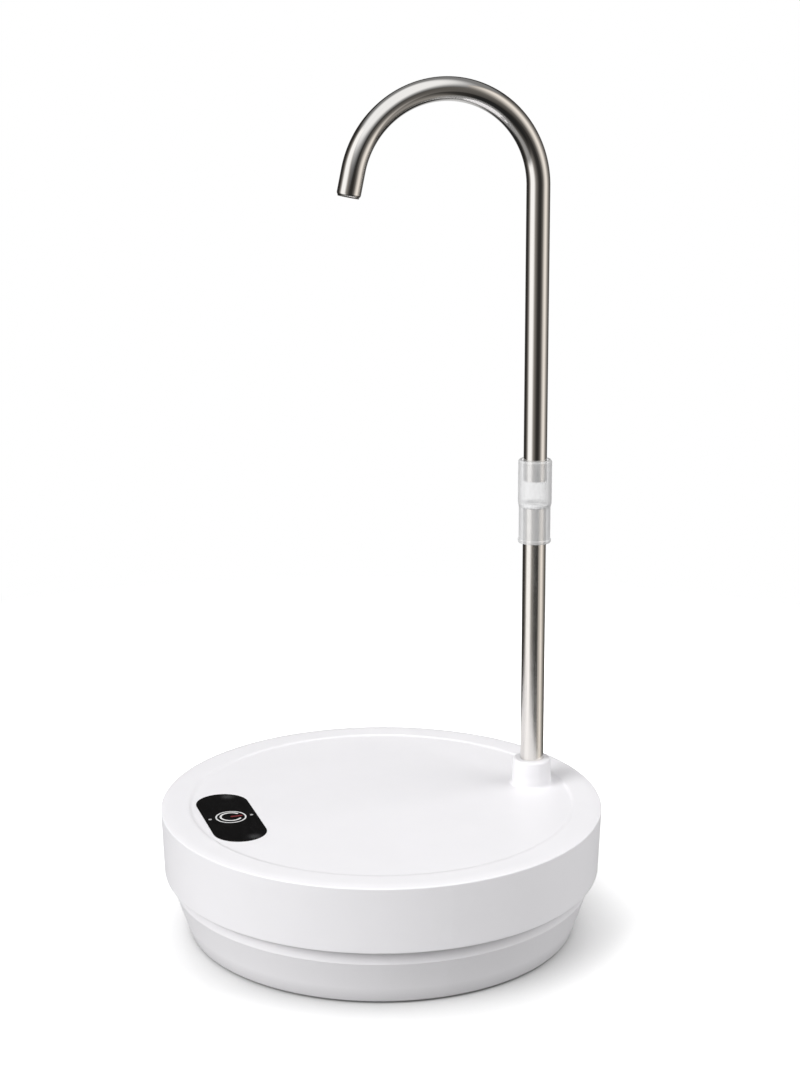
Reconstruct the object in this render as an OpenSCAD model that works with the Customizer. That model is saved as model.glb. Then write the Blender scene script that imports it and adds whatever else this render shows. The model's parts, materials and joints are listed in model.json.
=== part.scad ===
// Electric water jug pump: a countertop dispenser with a tray, a push button and a steel spout
// Millimetres, +Z up, standing on z = 0. The button panel is at -Y and the tube at +Y.

/* [Base] */
// Diameter of the cover's wall
base_d = 150; // [140:1:180]
// Height of the rim above the table
base_h = 42.6; // [42:0.1:55]
// Height of the cover's lower edge
seam_h = 20.5; // [20:0.1:24]
// Thickness of the outer walls
wall = 2.2; // [1.8:0.1:2.6]
// Thickness of the tray's skin
skin = 2.2; // [2:0.1:3]
// How far the cover's wall leans in towards its lower edge
wall_draft = 0.95; // [0:0.05:1.5]
// Radius of the wall's upper and lower edges
edge_r = 0.4; // [0.2:0.1:1]
// Width of the rim between tray and edge
rim_w = 11; // [9:0.1:12]
// Width of the rim's outer border, which falls away a little
crown_w = 4; // [2:0.1:6]
// How far that border falls
crown_drop = 0.3; // [0.1:0.05:0.6]
// Depth of the tray below the rim
tray_step = 0.4; // [0.3:0.1:1.2]
// Width of the slope between tray and rim
step_w = 2.2; // [1:0.1:3]
// Depth of the shadow gap under the cover
gap_depth = 5; // [4:0.1:6]
// Height of the shadow gap
gap_h = 1; // [0.6:0.1:1.6]
// Height of the lower shell's widest line
belly_h = 15.5; // [13:0.1:16.5]
// How much smaller the widest line's radius is than the wall's
belly_in = 4; // [3:0.1:6]
// How much smaller the foot's radius is than the wall's
bottom_in = 8.8; // [8:0.1:13]
// Radius of the lower shell's bottom edge
bottom_edge = 1; // [0.6:0.1:2]
// Thickness of the floor
floor_t = 2.2; // [2:0.1:3]
// Gap under the floor that the rubber feet leave
foot_h = 0.6; // [0.4:0.1:1.5]
// Diameter of a rubber foot
foot_d = 12; // [10:0.5:14]

/* [Tube and spout] */
// Outside diameter of the steel tube
tube_d = 8; // [6:0.1:9]
// Wall thickness of the steel tube
tube_wall = 0.5; // [0.4:0.1:0.8]
// Distance of the tube in from the base's edge
tube_inset = 20; // [19:0.5:25]
// Height of the lower tube's top end
joint_h = 141; // [110:1:180]
// Height where the spout's bend starts
bend_h = 250.5; // [210:0.5:300]
// Radius of the spout's bend
bend_r = 32.4; // [24:0.1:40]
// Angle that the bend sweeps
bend_sweep = 168.4; // [140:0.1:180]
// Straight length after the bend
tip_len = 8.6; // [4:0.1:20]
// How much wider the swaged tip is than the tube
tip_swage = 0.1; // [0.06:0.02:0.4]
// Diameter of the sleeve's upper half
sleeve_d_up = 11.5; // [10.5:0.1:13]
// Diameter of the sleeve's lower half
sleeve_d_low = 10.8; // [10:0.1:12]
// Length of lower tube inside the sleeve
sleeve_low = 12.1; // [8:0.1:16]
// Length of spout inside the sleeve
sleeve_up = 7.2; // [5:0.1:14]
// Distance between the two tube ends inside the sleeve
tube_gap = 9.4; // [2:0.1:12]
// Height of the sleeve's inner stop ring
stop_h = 1.4; // [0.8:0.1:1.8]

/* [Collar] */
// Diameter of the collar at its top
collar_d = 13; // [12:0.1:15]
// Diameter of the collar above its foot
collar_d_foot = 13.8; // [13:0.1:16]
// Height of the collar above the rim
collar_h = 8.8; // [6:0.1:12]
// Radius of the fillet at the collar's foot
collar_fillet = 1; // [0.8:0.1:2.2]

/* [Button panel] */
// Length of the panel
panel_l = 43.5; // [40:0.5:46]
// Width of the panel
panel_w = 17.7; // [16:0.1:18]
// Distance of the panel's middle in from the base's edge
panel_inset = 22.3; // [22:0.1:26]
// Thickness of the panel
panel_t = 1.9; // [1.7:0.1:2.2]
// How far the panel stands above the tray
panel_proud = 0.1; // [0:0.1:0.6]
// Outside diameter of the light ring
ring_d = 10.6; // [10:0.1:11]
// Width of the light ring
ring_w = 0.7; // [0.5:0.05:0.9]
// How far the cap stands above the panel
cap_proud = 0.15; // [0:0.05:0.3]
// Travel of the button
press = 0.6; // [0.4:0.1:0.6]
// Distance of an indicator from the button's centre
lamp_off = 7.1; // [6.6:0.1:7.6]
// Diameter of an indicator
lamp_d = 1.1; // [0.8:0.1:1.4]

/* [Boards] */
// Length of the control board
board_l = 40; // [40:0.5:44]
// Width of the control board
board_w = 17; // [16:0.5:18]
// Thickness of a board
board_t = 1.6; // [1:0.2:1.6]
// Height of the push switch's body
switch_h = 1.6; // [1.2:0.1:2]
// Width of the push switch's body
switch_w = 6; // [5:0.5:7]
// Height of the push switch's plunger
plunger_h = 0.8; // [0.6:0.1:1]
// Height of the charging socket's centre above the shell's ring
usb_rise = 5; // [4.5:0.1:6]
// Width of the charging socket
usb_w = 8.9; // [8.9:0.05:9.1]
// Height of the charging socket
usb_h = 3.2; // [3.1:0.05:3.3]
// Length of the charging socket
usb_l = 8.5; // [8:0.1:9.5]
// Depth of the charging socket's mouth
usb_depth = 7; // [6:0.1:7.5]
// Length of the charging board
charge_l = 20.5; // [19:0.5:22]
// Width of the charging board
charge_w = 18; // [17:0.5:19]

/* [Cell] */
// Diameter of the cell
cell_d = 18.4; // [17:0.1:19]
// Length of the cell
cell_l = 65; // [60:0.5:66]
// Distance of the cell from the pump's axis
cell_off = 35; // [34:0.5:36]
// Thickness of the cell strap
strap_t = 2; // [1.5:0.1:2.4]
// Width of the cell strap
strap_w = 8; // [7:0.5:10]
// Width of a cell contact
contact_w = 10; // [8:0.5:12]
// How far a contact's spring stands out from the cell
contact_h = 1.5; // [1:0.1:2]

/* [Pump] */
// Distance from the tube back to the motor's end cap
pump_reach = 95; // [92:0.5:98]
// Diameter of the motor
motor_d = 24.4; // [22:0.1:25]
// Length of the motor can
can_l = 25; // [24:0.5:26]
// Thickness of the motor's end cap
end_cap_t = 3; // [2.5:0.1:3.5]
// Length of the bearing boss on the motor can
boss_l = 2; // [1.5:0.1:2.5]
// Length of the end cap's spigot in the can
spigot_l = 2; // [1.5:0.1:2.5]
// Height of the bearing boss on the end cap
cap_boss_h = 1.5; // [1.5:0.1:2]
// Thickness of a magnet
magnet_t = 2.2; // [1.8:0.1:2.4]
// Distance of the magnets from the can's ends
magnet_in = 3; // [3:0.1:5]
// Diameter of the drive hub
hub_d = 12; // [11:0.5:14]
// Length of the drive hub
hub_l = 7; // [6.5:0.1:8]
// Diameter of the pump head
head_d = 30; // [30:0.5:31]
// Length of the pump head without its stubs
head_l = 8.5; // [8:0.1:10]
// Wall thickness of the pump case
case_wall = 2.4; // [2:0.1:3]
// Depth of the pump case's screw ears
ear_deep = 7; // [6:0.1:8]
// Thickness of the valve plate
plate_t = 3; // [2.5:0.1:4]
// Thickness of the diaphragm
sheet_t = 1; // [0.8:0.1:1.4]
// Distance of a diaphragm stem from the pump's axis
arm_r = 7.5; // [7:0.1:8]
// Width of a mounting lug
lug_w = 9; // [8:0.5:10]
// Thickness of a mounting lug
lug_t = 2.5; // [2:0.1:3]
// Height of a rubber grommet
grommet_h = 2; // [1.5:0.1:2.5]
// Sideways distance of a hose stub from the pump's axis
stub_off = 8; // [7.5:0.1:8.5]
// How far the hose stubs lie below the pump's axis
stub_drop = 6.2; // [6:0.1:6.5]
// Diameter of a hose stub
stub_d = 6; // [5:0.1:6]
// Length of a hose stub
stub_l = 12; // [10:0.5:13]
// Tilt of the drive pin
tilt = 5; // [3:0.5:5]
// Diameter of the motor shaft
shaft_d = 2; // [1.6:0.1:2.2]
// Diameter of the drive pin
pin_d = 1.8; // [1.5:0.1:1.8]
// Outside diameter of a hose
hose_d = 9.2; // [9:0.1:9.6]
// Width of a hose clip
clip_w = 4; // [3:0.1:5]
// Thickness of a hose clip's wire band
clip_t = 0.8; // [0.6:0.1:1]
// Length of a hose clip's ears
clip_ear = 3; // [2:0.1:4]
// Distance of a clip from the hose's end
clip_in = 3; // [2:0.1:4]
// Depth of the tube socket below its hose stub's axis
elbow_under = 5.5; // [5:0.1:6]
// Width of the tube socket's flange
flange_w = 8; // [7:0.1:9]
// Depth of the seal ring in the tube socket
seal_in = 4; // [3.5:0.1:5]
// Height of the seal ring's groove
groove_h = 2; // [2:0.1:2.4]
// Width of the inlet nut over its corners
nut_d = 12.8; // [12:0.1:13.5]

/* [Screws] */
// Diameter of a screw's shank
screw_d = 2.6; // [2.2:0.1:2.6]
// Length of a screw's shank
screw_l = 8; // [7:0.5:8]
// Diameter of a screw's head
screw_head = 5; // [4.4:0.1:5]
// Height of a screw's head
screw_head_h = 1.8; // [1.4:0.1:1.8]

/* [Fits and clearances] */
// Radial gap of a turning or sliding fit
run_gap = 0.05; // [0.02:0.01:0.08]
// Gap round a piece that is seated and does not move
seat_gap = 0.05; // [0.02:0.01:0.1]
// Gap between pieces that move past each other
move_gap = 0.35; // [0.3:0.05:0.5]

/* [Hidden] */
$fn = 72;
e = 0.1;
base_r = base_d / 2;
tray_r = base_r - rim_w;
tray_z = base_h - tray_step;
crown_run = crown_w - edge_r;
crown_r = (crown_run * crown_run + crown_drop * crown_drop) / (2 * crown_drop);
crown_a = asin(crown_run / crown_r);
skin_z = tray_z - skin;
wall_low_r = base_r - wall_draft;
inner_r = wall_low_r - wall;
ring_r = wall_low_r - gap_depth;
ring_in = ring_r - wall;
lip_r = ring_r + seat_gap;
lip_h = 3;
ring_top = seam_h + lip_h + 2.5;
gap_z = seam_h - gap_h;
belly_r = base_r - belly_in;
bottom_r = base_r - bottom_in;
floor_z = foot_h + floor_t;

tube_y = base_r - tube_inset;
tube_r = tube_d / 2;
tube_in = tube_r - tube_wall;
spout_z = joint_h + tube_gap;
tip_lap = 0.3;
sleeve_z = joint_h - sleeve_low;
sleeve_top = spout_z + sleeve_up;
collar_z = base_h + collar_h;
socket_r = tube_r + 3;
seal_r = 0.8;
seat_z = 22;

panel_y = panel_inset - base_r;
panel_z = tray_z + panel_proud;
pocket_z = panel_z - panel_t;
pad_z = skin_z - 2;
cap_r = ring_d / 2 - ring_w - move_gap;
cap_z = panel_z + cap_proud;
cap_low = pocket_z + press + move_gap;
stem_r = 2.2;
stem_z = pad_z - 1.5;
board_z = stem_z - press - move_gap - plunger_h - switch_h;
dome_z = board_z + switch_h;
dome_h = stem_z - move_gap - dome_z;
control_x = board_l / 2 - 3;

usb_z = ring_top + usb_rise;
charge_z = usb_z - usb_h / 2;
charge_x = inner_r - 17.5;
charge_y = 6.5;

pump_x = -stub_off;
inlet_x = pump_x - stub_off;
head_r = head_d / 2;
pump_y = tube_y - pump_reach;
pump_z = floor_z + head_r + 0.6;
hose_z = pump_z - stub_drop;
can_end = end_cap_t + can_l;
motor_r = motor_d / 2;
motor_in = motor_r - 0.9;
rotor_r = motor_in - magnet_t - 0.5;
boss_end = can_end + boss_l;
boss_r = shaft_d / 2 + 2.5;
bush_r = shaft_d / 2 + 1.6;
hub_z = boss_end + 0.5;
hub_end = hub_z + hub_l;
shaft_end = hub_z + 3.3;
pivot_z = hub_end + 8.1;
sheet_z = pivot_z + 0.9;
plate_z = sheet_z + sheet_t;
cap_face = plate_z + plate_t;
head_end = cap_face + head_l;
ear_h = 4.5;
shaft_r = shaft_d / 2;
pin_r = pin_d / 2;
cavity_r = head_r - case_wall;
ear_off = head_r * 0.69;
ear_r = 2.8;
ear_screw = 1;
lug_x = head_r + 2;
lug_y = pump_y + hub_end;
lug_z = floor_z + 3.2;

stub_r = stub_d / 2;
bore_r = stub_r - 0.8;
hose_r = hose_d / 2;
hose_in = stub_r + 0.3;
hose_start = pump_y + head_end + 0.5;
socket_stub = tube_y - socket_r - stub_l;
hose_end = tube_y - socket_r - 0.5;
nut_y = hose_end + 7;
boss_in = nut_y + 3.2;
inlet_end = sqrt(base_r * base_r - inlet_x * inlet_x) - 0.5;
boss_out = inlet_end - 9;
recess_r = hose_r + 2.4;

cell_x = pump_x + cell_off;
cell_y = 0;
cell_r = cell_d / 2;
cell_z = floor_z + 1.2 + cell_r;
strap_r = cell_r + seat_gap + strap_t;
strap_x = cell_r + 4.3;
strap_y = cell_y + 14;
strap_z = cell_z + 2.8;
stop_y = cell_l / 2 + contact_h + 1.6;

screw_r = screw_d / 2;
pilot_r = screw_r + seat_gap;
head_pocket = screw_head / 2 + 0.3;
case_xy = (base_r - 18) * sqrt(0.5);
case_seat = floor_z + 3.2;
post_top = case_seat + 3;
flange_z = skin_z - 9.2;
flange_t = 2.5;
flange_x = socket_r + 6;

function arc(c, r, a0, a1, n) =
    [for (i = [0:n]) let (a = a0 + (a1 - a0) * i / n) c + r * [cos(a), sin(a)]];

cover_profile = concat(
    [[0, tray_z], [tray_r, tray_z], [tray_r + 0.3 * step_w, tray_z + 0.15 * tray_step],
     [tray_r + 0.7 * step_w, base_h - 0.15 * tray_step], [tray_r + step_w, base_h]],
    arc([base_r - crown_w, base_h - crown_r], crown_r, 90, 90 - crown_a, 5),
    arc([base_r - edge_r, base_h - crown_drop - edge_r], edge_r, 75, 0, 4),
    arc([wall_low_r - edge_r, seam_h + edge_r], edge_r, 0, -90, 4),
    [[lip_r, seam_h], [lip_r, seam_h + lip_h], [inner_r, seam_h + lip_h],
     [inner_r, skin_z - 2], [inner_r - 2, skin_z], [0, skin_z]]);

shell_outline = concat(
    [[0, foot_h]],
    arc([bottom_r - bottom_edge, foot_h + bottom_edge], bottom_edge, -90, -20, 5),
    [[belly_r - 0.15, belly_h - 0.4], [belly_r, belly_h], [belly_r - 0.1, belly_h + 0.3],
     [ring_r + 0.25, gap_z], [ring_r, gap_z], [ring_r, ring_top]]);
shell_inside = [
    [ring_in, ring_top], [ring_in, belly_h], [bottom_r - wall, floor_z + 2],
    [bottom_r - wall - 2, floor_z], [0, floor_z]];

collar_profile = concat(
    [[0, tray_z - 1], [collar_d_foot / 2 + collar_fillet, tray_z - 1]],
    arc([collar_d_foot / 2 + collar_fillet, tray_z + collar_fillet], collar_fillet, 270, 180, 5),
    arc([collar_d / 2 - 0.8, collar_z - 0.8], 0.8, 0, 90, 4),
    [[0, collar_z]]);

sleeve_profile = [
    [tube_r + run_gap, sleeve_z], [sleeve_d_low / 2 + 0.1, sleeve_z],
    [sleeve_d_low / 2 + 0.25, sleeve_z + 0.3], [sleeve_d_low / 2 + 0.25, sleeve_z + 1],
    [sleeve_d_low / 2, sleeve_z + 1.3], [sleeve_d_low / 2, joint_h + 0.2],
    [sleeve_d_up / 2, joint_h + 1.5], [sleeve_d_up / 2, sleeve_top - 0.5],
    [sleeve_d_up / 2 - 0.4, sleeve_top], [tube_r + run_gap, sleeve_top],
    [tube_r + run_gap, joint_h + move_gap + stop_h], [tube_in, joint_h + move_gap + stop_h],
    [tube_in, joint_h + move_gap], [tube_r + run_gap, joint_h + move_gap]];

// Helpers

module slab(l, w, h) {
    translate([-(l - w) / 2, -w / 2, 0]) cube([l - w, w, h]);
    for (s = [-1, 1]) translate([s * (l - w) / 2, 0, 0]) cylinder(d = w, h = h);
}

module pipe(r_out, r_in, h) {
    difference() {
        cylinder(r = r_out, h = h);
        translate([0, 0, -e]) cylinder(r = r_in, h = h + 2 * e);
    }
}

// Along +Y from y0 to y1
module along_y(x, z, y0, y1, r) {
    translate([x, y0, z]) rotate([-90, 0, 0]) cylinder(r = r, h = y1 - y0);
}

// Pump space: its +Z runs along +Y and its +Y points down
module on_pump() {
    translate([pump_x, pump_y, pump_z]) rotate([-90, 0, 0]) children();
}

module tilted() {
    on_pump() translate([0, 0, pivot_z]) rotate([tilt, 0, 0]) children();
}

module at_ears() {
    for (x = [-1, 1], y = [-1, 1]) translate([x * ear_off, y * ear_off, 0]) children();
}

module at_arms(r) {
    for (a = [90, 210, 330]) rotate(a) translate([r, 0, 0]) children();
}

module at_case() {
    for (x = [-1, 1], y = [-1, 1]) translate([x * case_xy, y * case_xy, 0]) children();
}

module at_lugs(z) {
    for (s = [-1, 1]) translate([pump_x + s * lug_x, lug_y, z]) children();
}

module at_flange(z) {
    for (s = [-1, 1]) translate([s * flange_x, tube_y, z]) children();
}

module at_control(z) {
    for (s = [-1, 1]) translate([s * control_x, panel_y, z]) children();
}

module at_charge(z) {
    for (s = [-1, 1]) translate([-charge_x, s * charge_y, z]) children();
}

module at_strap(z) {
    for (s = [-1, 1]) translate([cell_x + s * strap_x, strap_y, z]) children();
}

module hose_stub(r, l) {
    cylinder(r = r, h = l);
    translate([0, 0, l - 2.5]) cylinder(r1 = r + 0.25, r2 = r - 0.2, h = 2.5);
}

// Case

module upper_cover() {
    color("white") difference() {
        union() {
            rotate_extrude($fn = 144) polygon(cover_profile);
            translate([0, tube_y, 0]) rotate_extrude() polygon(collar_profile);
            translate([0, panel_y, pad_z]) slab(panel_l + 3, panel_w + 3, skin_z - pad_z + e);
            at_case() translate([0, 0, post_top]) cylinder(r = 3.6, h = skin_z - post_top + e);
            at_flange(flange_z + flange_t) cylinder(r = 3.4, h = skin_z - flange_z - flange_t + e);
            at_control(board_z) cylinder(r = 2.6, h = skin_z - board_z + e);
            at_charge(charge_z) cylinder(r = 2.4, h = skin_z - charge_z + e);
        }
        translate([0, tube_y, skin_z - 1]) cylinder(r = tube_r + run_gap, h = collar_z - skin_z + 2);
        translate([0, panel_y, pocket_z])
            slab(panel_l + 2 * seat_gap, panel_w + 2 * seat_gap, panel_t + e);
        translate([0, panel_y, pad_z - 1]) cylinder(r = stem_r + move_gap, h = 5);
        for (s = [-1, 1]) translate([0, panel_y + s * lamp_off, pad_z - 1]) cylinder(d = 0.8, h = 5);
        at_case() translate([0, 0, post_top - e])
            cylinder(r = pilot_r, h = screw_l - (post_top - case_seat) + 0.6);
        at_flange(flange_z + flange_t - e) cylinder(r = pilot_r, h = screw_l - flange_t + 0.4);
        at_control(board_z - e) cylinder(r = pilot_r, h = screw_l - board_t + 0.3);
        at_charge(charge_z - e) cylinder(r = pilot_r, h = screw_l - board_t + 0.3);
        translate([-base_r - 1, 0, usb_z]) rotate([90, 0, 90]) slab(usb_w + 0.6, usb_h + 0.6, 8);
    }
}

module lower_shell() {
    color("white") difference() {
        union() {
            rotate_extrude($fn = 144) polygon(concat(shell_outline, shell_inside));
            at_case() translate([0, 0, floor_z - 1]) cylinder(r = 4.4, h = post_top - floor_z + 1);
            at_lugs(floor_z - 1) cylinder(r = 3.5, h = lug_z - floor_z + 1);
            at_strap(floor_z - 1) cylinder(r = 3.2, h = strap_z - floor_z + 1);
            translate([pump_x - 11, pump_y + 12, floor_z - 1]) cube([22, 4, pump_z - floor_z - 4]);
            for (s = [-1, 1]) {
                translate([cell_x - 10, cell_y + s * 22 - 1.5, floor_z - 1]) cube([20, 3, 8]);
                translate([cell_x - contact_w / 2, cell_y + s * stop_y - 1, floor_z - 1])
                    cube([contact_w, 2, cell_z - floor_z + 3]);
            }
            intersection() {
                along_y(inlet_x, hose_z, boss_in, base_r, recess_r + wall);
                rotate_extrude($fn = 144) polygon(concat(shell_outline, [[0, ring_top]]));
            }
        }
        at_case() {
            translate([0, 0, foot_h - e]) cylinder(d = foot_d + 2 * seat_gap, h = 1 + e);
            translate([0, 0, foot_h]) cylinder(r = head_pocket, h = case_seat - foot_h);
            cylinder(r = pilot_r, h = post_top + e);
        }
        at_lugs(lug_z + grommet_h + lug_t - screw_l - 0.2) cylinder(r = pilot_r, h = screw_l);
        at_strap(strap_z + strap_t - screw_l - 0.2) cylinder(r = pilot_r, h = screw_l);
        along_y(pump_x, pump_z, pump_y, pump_y + can_end + 2, motor_r + seat_gap);
        along_y(cell_x, cell_z, cell_y - cell_l / 2, cell_y + cell_l / 2, cell_r + seat_gap);
        along_y(inlet_x, hose_z, boss_in - 1, boss_out + 1, stub_r + 1);
        along_y(inlet_x, hose_z, boss_out, base_r + 1, recess_r);
        translate([0, 0, seam_h + 0.8]) difference() {
            cylinder(r = ring_r + 1, h = 1.4);
            translate([0, 0, -e]) cylinder(r = ring_r - 0.9, h = 2);
        }
    }
}

module rubber_feet() {
    color("dimgray") at_case() cylinder(d = foot_d, h = foot_h + 1);
}

module seam_gasket() {
    color("gray") translate([0, 0, seam_h + 0.8 + seat_gap]) rotate_extrude($fn = 144)
        translate([ring_r - 0.9 + seat_gap, 0]) square([0.9, 1.4 - 2 * seat_gap]);
}

module screw() {
    translate([0, 0, -screw_head_h]) cylinder(d = screw_head, h = screw_head_h);
    cylinder(r = screw_r, h = screw_l, $fn = 36);
}

module screws() {
    color("silver") {
        at_case() translate([0, 0, case_seat]) screw();
        at_flange(flange_z) screw();
        at_control(board_z - board_t) screw();
        at_charge(charge_z - board_t) screw();
        at_lugs(lug_z + grommet_h + lug_t) mirror([0, 0, 1]) screw();
        at_strap(strap_z + strap_t) mirror([0, 0, 1]) screw();
    }
}

// Button

module button_panel() {
    color("black") translate([0, panel_y, pocket_z]) difference() {
        slab(panel_l, panel_w, panel_t);
        translate([0, 0, -e]) cylinder(d = ring_d + 2 * seat_gap, h = panel_t + 2 * e);
        for (s = [-1, 1]) translate([0, s * lamp_off, -e])
            cylinder(d = lamp_d + 2 * seat_gap, h = panel_t + 2 * e, $fn = 36);
    }
}

module light_ring() {
    color("white") translate([0, panel_y, pocket_z])
        pipe(ring_d / 2, ring_d / 2 - ring_w, panel_t + 0.05);
}

module indicator_lenses() {
    color("white") for (s = [-1, 1]) translate([0, panel_y + s * lamp_off, pocket_z])
        cylinder(d = lamp_d, h = panel_t + 0.05, $fn = 36);
}

module button_cap() {
    color("black") translate([0, panel_y, 0]) {
        translate([0, 0, cap_low]) cylinder(r = cap_r, h = cap_z - cap_low);
        translate([0, 0, stem_z]) cylinder(r = stem_r, h = cap_low - stem_z + e);
        translate([0, 0, stem_z]) cylinder(r = stem_r + 1.6, h = 1);
    }
}

module button_dome() {
    color("lightgray") translate([0, panel_y, dome_z]) rotate_extrude()
        polygon([[2.2, 0], [3, 0], [3, 0.4 * dome_h], [2.9, dome_h], [2, dome_h], [2, 0.8 * dome_h]]);
}

module control_board() {
    color("green") difference() {
        translate([-board_l / 2, panel_y - board_w / 2, board_z - board_t])
            cube([board_l, board_w, board_t]);
        at_control(board_z - board_t - e) cylinder(r = pilot_r, h = board_t + 2 * e, $fn = 36);
    }
}

module push_switch() {
    color("gray") translate([0, panel_y, board_z]) {
        translate([-switch_w / 2, -switch_w / 2, 0]) cube([switch_w, switch_w, switch_h]);
        translate([0, 0, switch_h - e]) cylinder(r = 1.7, h = plunger_h + e, $fn = 36);
    }
}

module status_lamps() {
    color("ivory") for (s = [-1, 1])
        translate([-0.8, panel_y + s * lamp_off - 0.6, board_z]) cube([1.6, 1.2, 0.7]);
}

module charge_board() {
    color("green") difference() {
        translate([-inner_r + 1, -charge_w / 2, charge_z - board_t]) cube([charge_l, charge_w, board_t]);
        at_charge(charge_z - board_t - e) cylinder(r = pilot_r, h = board_t + 2 * e, $fn = 36);
    }
}

module charge_socket() {
    color("silver") translate([-base_r + 0.6, 0, usb_z]) rotate([90, 0, 90]) difference() {
        slab(usb_w, usb_h, usb_l);
        translate([0, 0, -e]) slab(usb_w - 0.6, usb_h - 0.6, usb_depth);
    }
    color("black") translate([-base_r + 2, -3.2, usb_z - 0.35]) cube([usb_depth - 1, 6.4, 0.7]);
}

// Water way

module tube_socket() {
    color("whitesmoke") difference() {
        union() {
            translate([0, tube_y, hose_z - elbow_under])
                cylinder(r = socket_r, h = skin_z - hose_z + elbow_under);
            translate([-flange_x, tube_y - flange_w / 2, flange_z]) cube([2 * flange_x, flange_w, flange_t]);
            at_flange(flange_z) cylinder(d = flange_w, h = flange_t);
            translate([0, tube_y, hose_z]) rotate([90, 0, 0]) hose_stub(stub_r, socket_r + stub_l);
        }
        translate([0, tube_y, seat_z]) cylinder(r = tube_r + run_gap, h = skin_z);
        translate([0, tube_y, hose_z - bore_r - 0.5]) cylinder(r = bore_r + 0.5, h = seat_z - hose_z + 6);
        along_y(0, hose_z, socket_stub - 1, tube_y, bore_r);
        at_flange(flange_z - e) cylinder(r = pilot_r, h = flange_t + 2 * e);
        translate([0, tube_y, skin_z - seal_in - groove_h / 2])
            cylinder(r = tube_r + run_gap + 2 * seal_r + seat_gap, h = groove_h);
    }
}

module tube_seal() {
    color("black") translate([0, tube_y, skin_z - seal_in]) rotate_extrude()
        translate([tube_r + run_gap + seal_r, 0]) circle(r = seal_r, $fn = 24);
}

module lower_tube() {
    color("silver") translate([0, tube_y, seat_z + move_gap])
        pipe(tube_r, tube_in, joint_h - seat_z - move_gap);
}

module silicone_sleeve() {
    color("lightgray", 0.6) translate([0, tube_y, 0]) rotate_extrude() polygon(sleeve_profile);
}

module bent(r, over) {
    translate([0, tube_y, spout_z - over]) cylinder(r = r, h = bend_h - spout_z + over);
    translate([0, tube_y - bend_r, bend_h]) rotate([0, 0, 90]) rotate([90, 0, 0]) {
        rotate_extrude(angle = bend_sweep, $fn = 96) translate([bend_r, 0]) circle(r = r);
        rotate(bend_sweep) translate([bend_r, -tip_lap, 0]) rotate([-90, 0, 0])
            cylinder(r = r + tip_swage / 2, h = tip_lap + tip_len + over);
    }
}

module spout() {
    color("silver") difference() {
        bent(tube_r, 0);
        bent(tube_in, e);
    }
}

module hose(x) {
    translate([x, hose_start, hose_z]) rotate([-90, 0, 0])
        pipe(hose_r, hose_in, hose_end - hose_start);
}

module outlet_hose() {
    color("lightblue") hose(0);
}

module inlet_hose() {
    color("lightblue") hose(inlet_x);
}

module hose_clips() {
    color("silver") for (x = [0, inlet_x], y = [hose_start + clip_in, hose_end - clip_in - clip_w])
        translate([x, y, hose_z]) rotate([-90, 0, 0]) {
            rotate(-70) rotate_extrude(angle = 320) translate([hose_r + seat_gap, 0])
                square([clip_t, clip_w]);
            for (a = [-70, 250]) rotate(a) translate([hose_r + 0.5, -clip_t / 2, 0])
                cube([clip_ear, clip_t, clip_w]);
        }
}

module inlet_fitting() {
    color("whitesmoke") difference() {
        union() {
            translate([inlet_x, hose_end + 1, hose_z]) rotate([90, 0, 0]) hose_stub(stub_r, stub_l - 1);
            along_y(inlet_x, hose_z, hose_end + seat_gap, boss_out + e, stub_r + 1 - seat_gap);
            along_y(inlet_x, hose_z, boss_out, boss_out + 2, stub_r + 2.6);
            along_y(inlet_x, hose_z, boss_out + 1, inlet_end - 1, stub_r);
            translate([inlet_x, inlet_end - 1 - e, hose_z]) rotate([-90, 0, 0])
                cylinder(r1 = stub_r, r2 = stub_r - 0.7, h = 1 + e);
        }
        along_y(inlet_x, hose_z, hose_end - stub_l, inlet_end + 1, bore_r);
    }
}

module inlet_nut() {
    color("gray") translate([inlet_x, nut_y, hose_z]) rotate([-90, 0, 0]) difference() {
        cylinder(d = nut_d, h = boss_in - nut_y, $fn = 6);
        translate([0, 0, -e]) cylinder(r = stub_r + 1, h = boss_in - nut_y + 2 * e);
    }
}

// Cell

module cell() {
    color("royalblue") along_y(cell_x, cell_z, cell_y - cell_l / 2, cell_y + cell_l / 2, cell_r);
}

module cell_contacts() {
    color("gold") for (s = [-1, 1])
        translate([cell_x, cell_y + s * (cell_l / 2 + seat_gap), cell_z]) rotate([-90 * s, 0, 0]) {
            cylinder(r1 = 2.5, r2 = 3.2, h = contact_h + e);
            translate([-contact_w / 2, -6, contact_h]) cube([contact_w, 12, 0.5]);
        }
}

module cell_strap() {
    color("whitesmoke") difference() {
        union() {
            along_y(cell_x, cell_z, strap_y - strap_w / 2, strap_y + strap_w / 2, strap_r);
            translate([cell_x - strap_x, strap_y - strap_w / 2, strap_z])
                cube([2 * strap_x, strap_w, strap_t]);
            at_strap(strap_z) cylinder(d = strap_w, h = strap_t);
        }
        along_y(cell_x, cell_z, cell_y, cell_y + cell_l / 2, cell_r + seat_gap);
        translate([cell_x - strap_r - 1, strap_y - strap_w, 0])
            cube([2 * strap_r + 2, 2 * strap_w, strap_z]);
        at_strap(strap_z - e) cylinder(r = pilot_r, h = strap_t + 2 * e);
    }
}

// Motor

module motor_can() {
    color("silver") on_pump() difference() {
        union() {
            translate([0, 0, end_cap_t]) cylinder(r = motor_r, h = can_l);
            translate([0, 0, can_end - e]) cylinder(r = boss_r, h = boss_l + e);
        }
        translate([0, 0, end_cap_t - e]) cylinder(r = motor_in, h = can_l - 1 + e);
        translate([0, 0, can_end - 2]) cylinder(r = bush_r + seat_gap, h = boss_l + 3);
    }
}

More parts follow.
